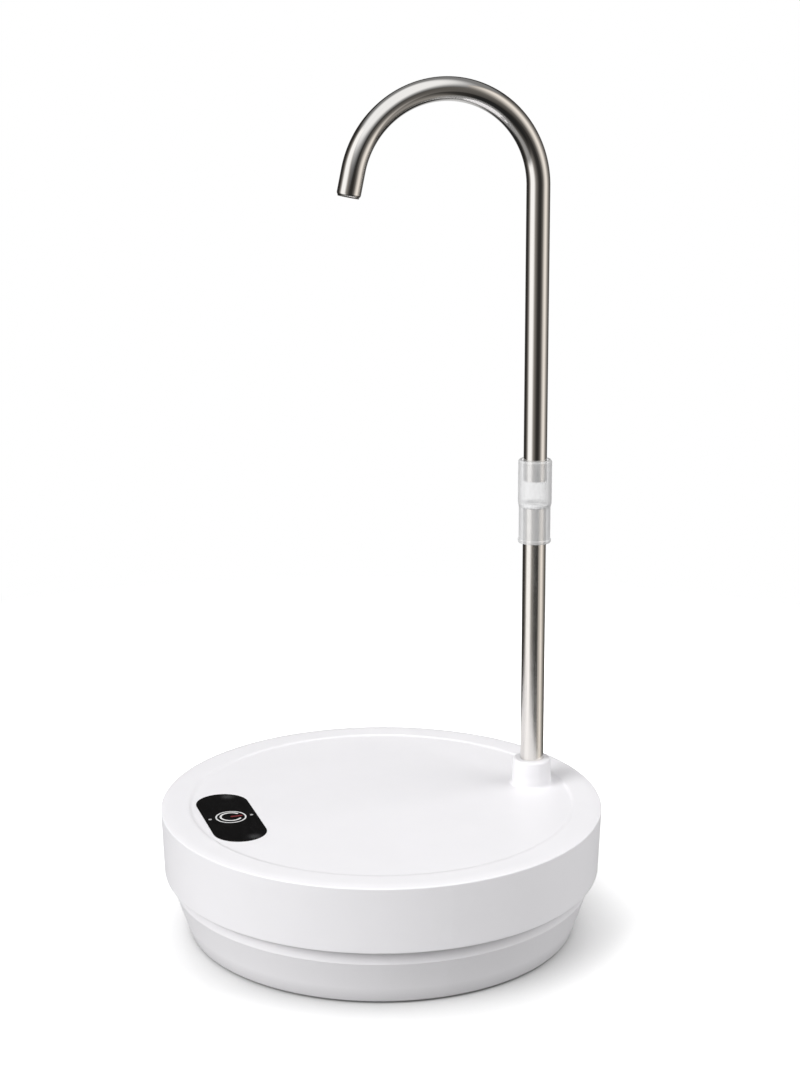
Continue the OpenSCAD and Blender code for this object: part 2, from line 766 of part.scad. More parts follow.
module motor_magnets() {
    color("dimgray") on_pump() translate([0, 0, end_cap_t + magnet_in]) for (a = [25, 205]) rotate(a)
        rotate_extrude(angle = 130) translate([motor_in - magnet_t, 0])
            square([magnet_t - seat_gap, can_l - 2 * magnet_in]);
}

module motor_end_cap() {
    color("black") on_pump() difference() {
        union() {
            cylinder(r = motor_r, h = end_cap_t);
            cylinder(r = motor_in - seat_gap, h = end_cap_t + spigot_l);
            translate([0, 0, -cap_boss_h]) cylinder(r = 4, h = cap_boss_h + 0.5);
        }
        translate([0, 0, -cap_boss_h - 0.5]) cylinder(r = bush_r + seat_gap, h = cap_boss_h + 2);
        cylinder(r = shaft_r + 0.4, h = end_cap_t + spigot_l + 1);
    }
}

module motor_terminals() {
    color("gold") on_pump() for (s = [-1, 1]) translate([s * 7.5 - 1, -0.3, -4]) cube([2, 0.6, 4]);
}

module motor_bushings() {
    color("goldenrod") on_pump() for (z = [0.3 - cap_boss_h, boss_end - 2.8]) translate([0, 0, z])
        pipe(bush_r, shaft_r + run_gap, 2.6);
}

module motor_rotor() {
    color("peru") on_pump() {
        translate([0, 0, -1]) cylinder(r = shaft_r, h = shaft_end + 1);
        translate([0, 0, end_cap_t + spigot_l + 0.6]) cylinder(r = shaft_r + 2, h = 2);
        difference() {
            translate([0, 0, end_cap_t + 5]) cylinder(r = rotor_r, h = can_l - 10);
            for (a = [0, 120, 240]) rotate(a) translate([shaft_r + 3, -0.8, end_cap_t + 4])
                cube([rotor_r, 1.6, can_l]);
        }
    }
}

module drive_hub() {
    color("ivory") difference() {
        on_pump() translate([0, 0, hub_z]) cylinder(d = hub_d, h = hub_l);
        on_pump() translate([0, 0, hub_z - e]) cylinder(r = shaft_r + 0.01, h = shaft_end - hub_z + 0.2);
        tilted() translate([0, 0, -11.3]) cylinder(r = pin_r + 0.01, h = 6);
    }
}

module drive_pin() {
    color("silver") tilted() translate([0, 0, -11.2]) cylinder(r = pin_r, h = 10);
}

module wobble_plate() {
    color("ivory") tilted() difference() {
        union() {
            translate([0, 0, -7.1]) cylinder(r = 2.6, h = 6);
            translate([0, 0, -2.6]) cylinder(r = arm_r + 3.5, h = 1.8);
        }
        translate([0, 0, -8]) cylinder(r = pin_r + run_gap, h = 8);
        at_arms(arm_r) translate([0, 0, -3]) cylinder(r = 1.9, h = 3, $fn = 36);
    }
}

// Pump

module pump_case() {
    color("dimgray") difference() {
        union() {
            on_pump() {
                translate([0, 0, can_end]) cylinder(r = head_r, h = sheet_z - can_end);
                at_ears() translate([0, 0, sheet_z - ear_deep]) cylinder(r = ear_r, h = ear_deep, $fn = 36);
            }
            translate([pump_x - lug_x, lug_y - lug_w / 2, lug_z + grommet_h])
                cube([2 * lug_x, lug_w, lug_t]);
            at_lugs(lug_z + grommet_h) cylinder(d = lug_w, h = lug_t);
        }
        on_pump() {
            translate([0, 0, boss_end]) cylinder(r = cavity_r, h = sheet_z);
            translate([0, 0, can_end - e]) cylinder(r = boss_r + seat_gap, h = boss_l + 1);
            at_ears() translate([0, 0, sheet_z - ear_deep + 1])
                cylinder(r = ear_screw + seat_gap, h = ear_deep, $fn = 36);
        }
        at_lugs(lug_z + grommet_h - e) cylinder(r = pilot_r, h = lug_t + 2 * e);
    }
}

module pump_disc(z, h) {
    translate([0, 0, z]) cylinder(r = head_r, h = h);
    at_ears() translate([0, 0, z]) cylinder(r = ear_r, h = h, $fn = 36);
}

module pump_screw_holes() {
    at_ears() translate([0, 0, sheet_z - 1])
        cylinder(r = ear_screw + seat_gap, h = head_end - sheet_z + 2, $fn = 36);
}

module diaphragm() {
    color("black") on_pump() difference() {
        union() {
            pump_disc(sheet_z, plate_z - sheet_z);
            at_arms(arm_r) translate([0, 0, sheet_z - 3.6]) cylinder(r = 1.2, h = 4, $fn = 36);
        }
        pump_screw_holes();
    }
}

module valve_plate() {
    color("white") on_pump() difference() {
        pump_disc(plate_z, cap_face - plate_z);
        pump_screw_holes();
        at_arms(arm_r) translate([0, 0, plate_z - e]) cylinder(r = 3.6, h = 1.2 + e, $fn = 36);
        at_arms(arm_r + 1.8) translate([0, 0, plate_z]) cylinder(r = 0.8, h = 4, $fn = 24);
        at_arms(arm_r - 2.5) translate([0, 0, plate_z]) cylinder(r = 0.8, h = 4, $fn = 24);
        translate([0, 0, plate_z - e]) cylinder(r = 1, h = 4, $fn = 24);
    }
}

module valve_flaps() {
    color("crimson") on_pump() {
        translate([0, 0, cap_face]) cylinder(r = 6, h = 0.7);
        translate([0, 0, plate_z + 0.6]) cylinder(r = 0.95, h = cap_face - plate_z, $fn = 24);
        at_arms(arm_r + 1.8) translate([0, 0, plate_z + 0.65]) cylinder(r = 1.5, h = 0.5, $fn = 24);
    }
}

module pump_head() {
    color("white") on_pump() difference() {
        union() {
            translate([0, 0, cap_face]) cylinder(r = head_r, h = head_end - cap_face);
            at_ears() translate([0, 0, cap_face]) cylinder(r = ear_r, h = ear_h, $fn = 36);
            for (s = [-1, 1]) translate([s * stub_off, stub_drop, head_end - e])
                hose_stub(stub_r, stub_l + e);
        }
        pump_screw_holes();
        translate([0, 0, cap_face - e]) cylinder(r = 6.8, h = 3.5);
        translate([0, 0, cap_face + 3]) cylinder(r = 2, h = 3.5);
        translate([0, 0, cap_face - e]) difference() {
            cylinder(r = cavity_r, h = 3.5);
            translate([0, 0, -e]) cylinder(r = 8, h = 4);
        }
        translate([-stub_off, stub_drop, cap_face + 2]) cylinder(r = bore_r, h = head_end + stub_l);
        translate([stub_off, stub_drop, cap_face + 4.8]) cylinder(r = bore_r, h = head_end + stub_l);
        translate([0, 0, cap_face + 6]) rotate(atan2(stub_drop, stub_off)) rotate([0, 90, 0])
            cylinder(r = 1.2, h = sqrt(stub_off * stub_off + stub_drop * stub_drop));
        at_ears() translate([0, 0, cap_face + ear_h]) cylinder(r = 2.2, h = head_l, $fn = 36);
    }
}

module pump_screws() {
    color("silver") on_pump() at_ears() {
        translate([0, 0, sheet_z - ear_deep + 1.5])
            cylinder(r = ear_screw, h = cap_face + ear_h - sheet_z + ear_deep - 1.5, $fn = 36);
        translate([0, 0, cap_face + ear_h]) cylinder(r = 1.9, h = 1.5, $fn = 36);
    }
}

module pump_grommets() {
    color("black") at_lugs(lug_z) pipe(lug_w / 2 - 0.5, pilot_r, grommet_h - seat_gap);
}

upper_cover();
lower_shell();
rubber_feet();
screws();
seam_gasket();
button_panel();
light_ring();
indicator_lenses();
button_cap();
button_dome();
control_board();
push_switch();
status_lamps();
charge_board();
charge_socket();
tube_socket();
tube_seal();
lower_tube();
silicone_sleeve();
spout();
cell();
cell_contacts();
cell_strap();
motor_can();
motor_magnets();
motor_end_cap();
motor_terminals();
motor_bushings();
motor_rotor();
drive_hub();
drive_pin();
wobble_plate();
pump_case();
diaphragm();
valve_plate();
valve_flaps();
pump_head();
pump_screws();
pump_grommets();
outlet_hose();
inlet_hose();
hose_clips();
inlet_fitting();
inlet_nut();
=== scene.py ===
"""Looks of the electric water jug pump: camera, studio, materials and small modelled details."""
import json
import math

import bmesh
import bpy
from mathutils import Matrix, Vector


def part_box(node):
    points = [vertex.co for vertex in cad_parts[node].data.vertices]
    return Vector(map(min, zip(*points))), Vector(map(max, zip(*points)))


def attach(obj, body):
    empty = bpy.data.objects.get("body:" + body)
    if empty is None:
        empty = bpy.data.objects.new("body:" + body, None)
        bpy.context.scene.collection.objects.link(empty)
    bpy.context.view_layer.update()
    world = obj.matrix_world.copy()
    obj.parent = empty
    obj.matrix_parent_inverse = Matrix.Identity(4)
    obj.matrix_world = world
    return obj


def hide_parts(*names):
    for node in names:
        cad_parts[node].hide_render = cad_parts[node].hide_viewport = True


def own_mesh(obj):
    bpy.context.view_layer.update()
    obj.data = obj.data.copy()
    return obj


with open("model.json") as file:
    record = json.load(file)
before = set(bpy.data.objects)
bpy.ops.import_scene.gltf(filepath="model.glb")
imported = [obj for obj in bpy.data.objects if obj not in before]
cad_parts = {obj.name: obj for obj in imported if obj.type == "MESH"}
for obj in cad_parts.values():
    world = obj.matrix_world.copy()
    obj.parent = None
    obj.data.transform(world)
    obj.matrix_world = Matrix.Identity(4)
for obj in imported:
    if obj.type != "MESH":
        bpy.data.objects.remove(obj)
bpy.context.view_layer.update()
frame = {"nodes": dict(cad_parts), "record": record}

MM = 0.001
UP = Vector((0, 0, 1))
ACROSS = Vector((1, 0, 0))
FLAT = Vector((1, 1, 0))
WHITE = (1, 1, 1, 1)
NODES = frame["nodes"]
SCENE = bpy.context.scene

# Camera, where the photograph was taken from

CAMERA_PLACE = Vector((0.65368, -0.20260, 0.30685))
CAMERA_LOOK = Vector((-0.93731, 0.30010, -0.17717))
CAMERA_LENS, SENSOR_WIDTH = 69.49, 36
CAMERA_SHIFT = -0.14
CLIP_START, CLIP_END = 0.01, 50

lens = bpy.data.cameras.new("camera")
lens.lens = CAMERA_LENS
lens.sensor_width = SENSOR_WIDTH
lens.shift_y = CAMERA_SHIFT
lens.clip_start = CLIP_START
lens.clip_end = CLIP_END
camera = bpy.data.objects.new("camera", lens)
camera.location = CAMERA_PLACE
camera.rotation_euler = CAMERA_LOOK.to_track_quat("-Z", "Y").to_euler()
SCENE.collection.objects.link(camera)
SCENE.camera = camera
SCENE.view_settings.view_transform = "Standard"

# Places taken from the CAD nodes

tube_low, tube_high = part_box("lower_tube")
spout_low, spout_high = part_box("spout")
panel_low, panel_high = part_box("button_panel")
ring_low, ring_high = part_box("light_ring")
cap_low, cap_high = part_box("button_cap")
dome_low, dome_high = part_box("button_dome")

TUBE_R = (tube_high.x - tube_low.x) / 2
TUBE_Y = (tube_high.y + tube_low.y) / 2
BEND_R = 32.4 * MM
BEND_MIDDLE = Vector((0, TUBE_Y - BEND_R, spout_high.z - TUBE_R - BEND_R))
PANEL_MIDDLE = (panel_low + panel_high) / 2
RING_MIDDLE = (ring_low + ring_high) / 2
CAP_MIDDLE = (cap_low + cap_high) / 2

TO_CAMERA = Vector((CAMERA_PLACE.x, CAMERA_PLACE.y - TUBE_Y, 0)).normalized()
TO_RIGHT = Vector((-TO_CAMERA.y, TO_CAMERA.x, 0))


# Node helpers

def node(tree, kind, inputs=None, **settings):
    """A new shader node, its settings, and its inputs as values or as sockets to link."""
    made = tree.nodes.new(kind)
    for name, value in settings.items():
        setattr(made, name, value)
    for key, value in (inputs or {}).items():
        if isinstance(value, bpy.types.NodeSocket):
            tree.links.new(value, made.inputs[key])
        else:
            made.inputs[key].default_value = value
    return made


def math_node(tree, operation, *values):
    """The result of a maths node over values or sockets."""
    return node(tree, "ShaderNodeMath", dict(enumerate(values)), operation=operation).outputs[0]


def vector_node(tree, operation, first, second):
    """The result of a vector maths node: a number for a distance or a dot product, otherwise a vector."""
    made = node(tree, "ShaderNodeVectorMath", {0: first, 1: second}, operation=operation)
    return made.outputs["Value" if operation in ("DISTANCE", "DOT_PRODUCT") else "Vector"]


def height_of(tree, vector):
    """The upward share of a vector."""
    return node(tree, "ShaderNodeSeparateXYZ", {0: vector}).outputs["Z"]


def mix_shader(tree, factor, first, second):
    """A mix of two shader nodes."""
    return node(tree, "ShaderNodeMixShader", {0: factor, 1: first.outputs[0], 2: second.outputs[0]})


def mix_colour(tree, factor, first, second):
    """A mix of two colours."""
    return node(tree, "ShaderNodeMix", {0: factor, 6: first, 7: second}, data_type="RGBA").outputs[2]


def ramp(tree, factor, stops, interpolation="LINEAR"):
    """A colour ramp over (position, grey or colour) stops."""
    made = node(tree, "ShaderNodeValToRGB", {"Fac": factor})
    made.color_ramp.interpolation = interpolation
    elements = made.color_ramp.elements
    while len(elements) > 1:
        elements.remove(elements[-1])
    for i, (position, colour) in enumerate(stops):
        element = elements[0] if i == 0 else elements.new(position)
        element.position = position
        element.color = (*colour, 1) if isinstance(colour, tuple) else (colour, colour, colour, 1)
    return made.outputs["Color"]


def spread(tree, factor, low, high, to_low, to_high, smooth=False):
    """A factor between low and high brought to the range between to_low and to_high."""
    kind = "SMOOTHSTEP" if smooth else "LINEAR"
    return node(tree, "ShaderNodeMapRange", {
        "Value": factor, "From Min": low, "From Max": high, "To Min": to_low, "To Max": to_high,
    }, interpolation_type=kind).outputs[0]


def noise(tree, place, scale, detail=3.0, roughness=0.5):
    """A noise over a place, from 0 to 1."""
    return node(tree, "ShaderNodeTexNoise", {
        "Vector": place, "Scale": scale, "Detail": detail, "Roughness": roughness}).outputs["Fac"]


def bump(tree, height, strength, depth):
    """A surface direction made uneven by a height."""
    return node(tree, "ShaderNodeBump", {
        "Height": height, "Strength": strength, "Distance": depth}).outputs[0]


OPEN_SAMPLES = 16


def openness(tree, reach, only_local=False):
    """How open a spot lies within a reach, from 0 in a closed corner to 1."""
    return node(tree, "ShaderNodeAmbientOcclusion", {"Distance": reach},
                samples=OPEN_SAMPLES, only_local=only_local).outputs["AO"]


def start_material(name):
    """A material with a Principled shader, its tree and its object coordinates in metres."""
    material = bpy.data.materials.new(name)
    material.use_nodes = True
    tree = material.node_tree
    shader = tree.nodes["Principled BSDF"]
    place = tree.nodes.new("ShaderNodeTexCoord").outputs["Object"]
    return material, tree, shader, place


def connect(tree, shader, **links):
    """Links to a shader's inputs, named with _ for a space."""
    for name, socket in links.items():
        tree.links.new(socket, shader.inputs[name.replace("_", " ")])


# World: white for the camera, soft panels and dark gaps for mirror rays, a plain fill for the rest

FILL = 0.25
WARM_RED, WARM_BLUE = 0.07, 0.08
# Panels round the part: degrees to the right of the camera, brightness, share of the warm tint
PANELS_ROUND = (
    (-180, 0.03, 1), (-108, 0.03, 1), (-88, 0.26, 1), (-72, 1.1, 0.2), (-42, 1.1, 0.2), (-24, 0.27, 1),
    (-4, 0.085, 1), (8, 0.03, 1), (28, 0.03, 1), (46, 0.14, 1), (66, 0.72, 1), (79, 0.95, 1), (91, 0.72, 1),
    (106, 0.32, 1), (124, 0.14, 1), (150, 0.04, 1), (180, 0.03, 1))
# Their brightness by height, from 0 straight down to 1 straight up
PANEL_HEIGHTS = ((0.265, 0.30), (0.330, 1.0), (0.80, 1.0), (0.925, 0.0))
# Panel high above: the way to its middle, and its brightness by the cosine of the angle from there
HIGH_PANEL = 0.49 * TO_CAMERA - 0.09 * TO_RIGHT + 0.87 * UP
HIGH_PANEL_EDGE = ((0.46, 0.02), (0.58, 0.20), (0.70, 0.45), (0.80, 0.85), (0.86, 1.0))
# Panel behind the object: degrees to the right of the camera, brightness, and the heights where it fades
BACK_PANEL = ((-180, 0.7), (-166, 0.5), (-152, 0.0), (152, 0.0), (166, 0.5), (180, 0.7))
BACK_PANEL_FULL, BACK_PANEL_TOP = 0.02, 0.18
# Sky: its glow and the heights between which it comes up
SKY_GLOW, SKY_FROM, SKY_FULL = 0.24, 0.46, 0.72


def warm(value, tint):
    """A grey with a share of the room's warm tint."""
    return ((1 + WARM_RED * tint) * value, value, (1 - WARM_BLUE * tint) * value)


def turn_share(angle):
    """An angle from -180 to 180 degrees as a share from 0 to 1."""
    return (angle + 180) / 360


def mirrored_panels(tree):
    """The colours that mirror rays meet, by their way."""
    way = tree.nodes.new("ShaderNodeTexCoord").outputs["Generated"]
    up = height_of(tree, way)
    ahead = vector_node(tree, "DOT_PRODUCT", way, TO_CAMERA)
    aside = vector_node(tree, "DOT_PRODUCT", way, TO_RIGHT)
    overhead = vector_node(tree, "DOT_PRODUCT", way, HIGH_PANEL.normalized())
    turn = spread(tree, math_node(tree, "ARCTAN2", aside, ahead), -math.pi, math.pi, 0, 1)
    around = ramp(tree, turn, [(turn_share(angle), warm(*tone)) for angle, *tone in PANELS_ROUND])
    heights = ramp(tree, spread(tree, up, -1, 1, 0, 1), PANEL_HEIGHTS, "EASE")
    high = ramp(tree, overhead, HIGH_PANEL_EDGE)
    sky = spread(tree, up, SKY_FROM, SKY_FULL, 0, SKY_GLOW, smooth=True)
    back = ramp(tree, turn, [(turn_share(angle), bright) for angle, bright in BACK_PANEL])
    low = spread(tree, up, BACK_PANEL_FULL, BACK_PANEL_TOP, 1, 0, smooth=True)
    panels = vector_node(tree, "MULTIPLY", around, heights)
    for more in (high, sky, vector_node(tree, "MULTIPLY", back, low)):
        panels = vector_node(tree, "MAXIMUM", panels, more)
    return panels


def make_world():
    """What rays meet beyond the floor, by their kind."""
    world = bpy.data.worlds.new("studio")
    SCENE.world = world
    world.use_nodes = True
    tree = world.node_tree
    tree.nodes.clear()
    rays = tree.nodes.new("ShaderNodeLightPath")
    white = node(tree, "ShaderNodeBackground", {"Color": WHITE, "Strength": 1.0})
    fill = node(tree, "ShaderNodeBackground", {"Color": WHITE, "Strength": FILL})
    shine = node(tree, "ShaderNodeBackground", {"Color": mirrored_panels(tree), "Strength": 1.0})
    soft = mix_shader(tree, rays.outputs["Is Glossy Ray"], fill, shine)
    seen = math_node(tree, "MAXIMUM", rays.outputs["Is Camera Ray"], rays.outputs["Is Transmission Ray"])
    both = mix_shader(tree, seen, soft, white)
    output = tree.nodes.new("ShaderNodeOutputWorld")
    tree.links.new(both.outputs[0], output.inputs["Surface"])


# Suns: name, way to the light, strength and width in degrees

SUNS = (
    ("top_light", 0.15 * TO_CAMERA + UP, 0.25, 60),
    ("key_light", 0.57 * TO_CAMERA - 0.68 * TO_RIGHT + 0.465 * UP, 0.82, 40),
    ("side_light", 0.08 * TO_CAMERA + 0.89 * TO_RIGHT + 0.454 * UP, 0.525, 60))


def make_sun(name, to_light, strength, width):
    """A soft sun, which mirror rays don't meet."""
    sun = bpy.data.lights.new(name, "SUN")
    sun.energy = strength * math.pi
    sun.angle = math.radians(width)
    lamp = bpy.data.objects.new(name, sun)
    lamp.rotation_euler = to_light.to_track_quat("Z", "Y").to_euler()
    lamp.visible_glossy = False
    SCENE.collection.objects.link(lamp)


# Floor: real shadows plus painted shadow near the object and white further out for the camera, dull for all
# other rays

FLOOR_HALF = 3.0
# Painted shadow tones near the object, from left to right, from back to front, and what they gain further out
SIDE_REACH = 70 * MM
FLOOR_LEFT, FLOOR_RIGHT = 1.24, 1.05
FLOOR_BACK, BACK_END = 1.36, -30 * MM
FLOOR_FRONT, FRONT_END = 0.92, 60 * MM
FLOOR_CLEAR, CLEAR_END = 0.18, 140 * MM
# Painted contact shadow: how far the openness reaches and the power it is raised to
CONTACT_REACH, CONTACT_POWER = 24 * MM, 0.4
# Distances where the white begins and is full
FADE_NEAR, FADE_FAR = 0.22, 0.45
# What other rays meet: a dull white with a glow close to the base, weaker on the right
FLOOR_BOUNCE = 0.31
NEAR_GLOW, NEAR_FROM, NEAR_TO = 0.12, 74 * MM, 86 * MM
GLOW_RIGHT, GLOW_RIGHT_FROM = 0.6, 14 * MM
# Distances where mirror rays begin to miss the floor and all miss it
MIRRORED_NEAR, MIRRORED_FAR = 0.096, 0.24


def shaded_floor(tree, place, away, rightward):
    """The floor near the object as the camera sees it: lit by the suns with their real shadows, with painted
    shadow tones by place and a painted contact shadow where the base stands on it.
    """
    forward = vector_node(tree, "DOT_PRODUCT", place, TO_CAMERA)
    side = spread(tree, rightward, -SIDE_REACH, SIDE_REACH, FLOOR_LEFT, FLOOR_RIGHT, smooth=True)
    clear = spread(tree, away, SIDE_REACH, CLEAR_END, 0, FLOOR_CLEAR, smooth=True)
    depth = spread(tree, forward, BACK_END, FRONT_END, FLOOR_BACK, FLOOR_FRONT)
    painted_floor_tone = math_node(tree, "MULTIPLY", math_node(tree, "ADD", side, clear), depth)
    painted_contact_shadow = math_node(tree, "POWER", openness(tree, CONTACT_REACH), CONTACT_POWER)
    return node(tree, "ShaderNodeBsdfDiffuse", {"Color": math_node(tree, "MULTIPLY", painted_floor_tone, painted_contact_shadow)})


def dull_floor(tree, away, rightward):
    """The floor as the other rays meet it."""
    near = spread(tree, away, NEAR_FROM, NEAR_TO, NEAR_GLOW, 0, smooth=True)
    side = spread(tree, rightward, GLOW_RIGHT_FROM, SIDE_REACH, 1, GLOW_RIGHT, smooth=True)
    glow = node(tree, "ShaderNodeEmission", {
        "Color": WHITE, "Strength": math_node(tree, "MULTIPLY", near, side)})
    dull = node(tree, "ShaderNodeBsdfDiffuse", {"Color": (FLOOR_BOUNCE, FLOOR_BOUNCE, FLOOR_BOUNCE, 1)})
    return node(tree, "ShaderNodeAddShader", {0: dull.outputs[0], 1: glow.outputs[0]})


def floor_white():
    """The floor's material, which differs by the kind of ray."""
    material = bpy.data.materials.new("floor_white")
    material.use_nodes = True
    tree = material.node_tree
    tree.nodes.clear()
    place = tree.nodes.new("ShaderNodeTexCoord").outputs["Object"]
    away = vector_node(tree, "DISTANCE", place, Vector())
    rightward = vector_node(tree, "DOT_PRODUCT", place, TO_RIGHT)
    rays = tree.nodes.new("ShaderNodeLightPath")
    white = node(tree, "ShaderNodeEmission", {"Color": WHITE, "Strength": 1.0})
    nothing = tree.nodes.new("ShaderNodeBsdfTransparent")
    fade = spread(tree, away, FADE_NEAR, FADE_FAR, 0, 1, smooth=True)
    seen = mix_shader(tree, fade, shaded_floor(tree, place, away, rightward), white)
    bounced = dull_floor(tree, away, rightward)
    missed = spread(tree, away, MIRRORED_NEAR, MIRRORED_FAR, 0, 1, smooth=True)
    mirrored = mix_shader(tree, missed, bounced, nothing)
    unseen = mix_shader(tree, rays.outputs["Is Glossy Ray"], bounced, mirrored)
    surface = mix_shader(tree, rays.outputs["Is Camera Ray"], unseen, seen)
    output = tree.nodes.new("ShaderNodeOutputMaterial")
    tree.links.new(surface.outputs[0], output.inputs["Surface"])
    return material


def make_floor():
    """A wide flat floor, which is no part of the object."""
    mesh = bpy.data.meshes.new("floor")
    corners = [(-1, -1), (1, -1), (1, 1), (-1, 1)]
    mesh.from_pydata([(x * FLOOR_HALF, y * FLOOR_HALF, 0) for x, y in corners], [], [(0, 1, 2, 3)])
    mesh.materials.append(floor_white())
    floor = bpy.data.objects.new("floor", mesh)
    SCENE.collection.objects.link(floor)


make_world()
for sun_values in SUNS:
    make_sun(*sun_values)
make_floor()


# Parts of materials

# Most values of a noise lie between these two
NOISE_LOW, NOISE_HIGH = 0.3, 0.7
CLOUD_SCALE, CLOUD_DETAIL, GLOSS_SCALE = 60, 4, 220


def cloudy(tree, factor, dark, bright):
    """A colour that wanders between two tones with a noise."""
    return ramp(tree, factor, [(NOISE_LOW, dark), (NOISE_HIGH, bright)])


def uneven(tree, factor, low, high):
    """A number that wanders between two values with a noise."""
    return spread(tree, factor, NOISE_LOW, NOISE_HIGH, low, high)


def darker(colour, share):
    """A colour less a share of its brightness."""
    return tuple(c * (1 - share) for c in colour)


def grain(tree, place, scale, depth, strength=0.5, detail=2):
    """A surface direction made uneven by a fine noise."""
    return bump(tree, noise(tree, place, scale, detail), strength, depth)


# Materials

def moulded(name, colour, vary, rough, grain_scale, grain_depth):
    """Moulded plastic or rubber: cloudy colour, uneven gloss and a fine grain."""
    material, tree, shader, place = start_material(name)
    cloud = noise(tree, place, CLOUD_SCALE, CLOUD_DETAIL)
    connect(tree, shader,
            Base_Color=cloudy(tree, cloud, darker(colour, vary), colour),
            Roughness=uneven(tree, noise(tree, place, GLOSS_SCALE), *rough),
            Normal=grain(tree, place, grain_scale, grain_depth * MM))
    return material


def metal(name, colour, vary, rough, scale, stretch=(1, 1, 1)):
    """Bare or plated metal with a fine drawn texture."""
    material, tree, shader, place = start_material(name)
    drawn = node(tree, "ShaderNodeMapping", {"Vector": place, "Scale": stretch}).outputs[0]
    lines = noise(tree, drawn, scale, detail=4, roughness=0.6)
    connect(tree, shader,
            Base_Color=cloudy(tree, lines, darker(colour, vary), colour),
            Roughness=spread(tree, lines, 0.25, 0.75, *rough),
            Normal=bump(tree, lines, strength=0.25, depth=0.01 * MM))
    shader.inputs["Metallic"].default_value = 1.0
    return material


# White shells: share that the colour varies by, range of roughness, level of shine
SHELL_VARY, SHELL_ROUGH, SHELL_SHINE = 0.015, (0.40, 0.50), 0.35
# Openness at which the painted corner shade is darkest
PAINTED_CORNER_CLOSED = 0.3
# Painted corner shade fades where a face faces up: upward shares where that starts and ends, and what is left
LYING_FROM, LYING_FULL, LYING_SHARE = 0.6, 0.95, 0.12
# Collar: the height where its painted shade starts, the height over which that comes in, and the painted
# shade
COLLAR_FOOT, COLLAR_FADE, COLLAR_PAINTED_SHADE = panel_high.z + 2 * MM, 3 * MM, 0.96


def white_shell(name, tone, reach, darkest_painted_shade, only_local):
    """Satin white plastic with painted shade: greyer in its corners and seams and on the collar."""
    material, tree, shader, place = start_material(name)
    plain = cloudy(tree, noise(tree, place, CLOUD_SCALE, CLOUD_DETAIL), darker(tone, SHELL_VARY), tone)
    # Painted corner shade, from how closed in a spot lies
    corner = spread(tree, openness(tree, reach, only_local), PAINTED_CORNER_CLOSED, 1.0, 1.0 - darkest_painted_shade, 0.0)
    facing = tree.nodes.new("ShaderNodeNewGeometry").outputs["Normal"]
    upright = spread(tree, height_of(tree, facing), LYING_FROM, LYING_FULL, 1.0, LYING_SHARE, smooth=True)
    clear = math_node(tree, "SUBTRACT", 1.0, math_node(tree, "MULTIPLY", corner, upright))
    # Painted shade on the collar above the tray
    collar_painted_shade = spread(tree, height_of(tree, place), COLLAR_FOOT, COLLAR_FOOT + COLLAR_FADE,
                    1.0, COLLAR_PAINTED_SHADE, smooth=True)
    painted_shade = math_node(tree, "MULTIPLY", clear, collar_painted_shade)
    connect(tree, shader,
            Base_Color=vector_node(tree, "MULTIPLY", plain, painted_shade),
            Roughness=uneven(tree, noise(tree, place, GLOSS_SCALE), *SHELL_ROUGH),
            Normal=grain(tree, place, scale=2200, depth=0.02 * MM))
    shader.inputs["Specular IOR Level"].default_value = SHELL_SHINE
    return material


# Light ring: the bright line's radius, half its width and the share of that over which it fades
LINE_R = (ring_high.x - ring_low.x) / 2 - 0.35 * MM
LINE_HALF, LINE_FADE = 0.24 * MM, 0.3
LINE_DARK, LINE_BRIGHT = (0.04, 0.04, 0.042), (0.86, 0.86, 0.86)


def lit_ring():
    """Smoked light guide with a bright line along its middle."""
    material, tree, shader, place = start_material("lit_ring")
    aside = vector_node(tree, "DISTANCE", vector_node(tree, "MULTIPLY", place, FLAT), RING_MIDDLE * FLAT)
    off = math_node(tree, "ABSOLUTE", math_node(tree, "SUBTRACT", aside, LINE_R))
    bright = spread(tree, off, (1 - LINE_FADE) * LINE_HALF, (1 + LINE_FADE) * LINE_HALF, 1, 0, smooth=True)
    connect(tree, shader,
            Base_Color=ramp(tree, bright, [(0, LINE_DARK), (1, LINE_BRIGHT)]),
            Roughness=uneven(tree, noise(tree, place, GLOSS_SCALE), 0.30, 0.40),
            Normal=grain(tree, place, scale=1800, depth=0.01 * MM))
    return material


# Polished tubes: how fast the marks change along the tube against across it, and the clouds' roughness
MARKS_ALONG, STEEL_CLOUD = 0.02, 0.03


def polished_steel(name, dark, bright, rough, smear):
    """Polished tube whose marks smear what it mirrors along its length, by a share from 0 to 1."""
    material, tree, shader, place = start_material(name)
    moved = vector_node(tree, "SUBTRACT", place, BEND_MIDDLE)
    x, y, z = node(tree, "ShaderNodeSeparateXYZ", {0: moved}).outputs
    over = math_node(tree, "MAXIMUM", z, 0.0)
    squares = [math_node(tree, "MULTIPLY", side, side) for side in (y, over)]
    reach = math_node(tree, "SQRT", math_node(tree, "ADD", *squares))
    along = math_node(tree, "MULTIPLY", z, MARKS_ALONG)
    section = node(tree, "ShaderNodeCombineXYZ", {0: x, 1: reach, 2: along}).outputs[0]
    lines = noise(tree, section, scale=2600, detail=5, roughness=0.65)
    clouds = noise(tree, place, scale=90)
    way = node(tree, "ShaderNodeCombineXYZ", {1: math_node(tree, "MULTIPLY", over, -1.0), 2: y}).outputs[0]
    tangent = node(tree, "ShaderNodeVectorTransform", {"Vector": way}, vector_type="VECTOR",
                   convert_from="OBJECT", convert_to="WORLD").outputs[0]
    connect(tree, shader,
            Base_Color=ramp(tree, lines, [(0.25, dark), (0.75, bright)]),
            Roughness=math_node(tree, "ADD", uneven(tree, lines, *rough),
                                uneven(tree, clouds, 0.0, STEEL_CLOUD)),
            Normal=bump(tree, lines, strength=0.12, depth=0.006 * MM),
            Tangent=tangent)
    shader.inputs["Metallic"].default_value = 1.0
    shader.inputs["Anisotropic"].default_value = smear
    return material


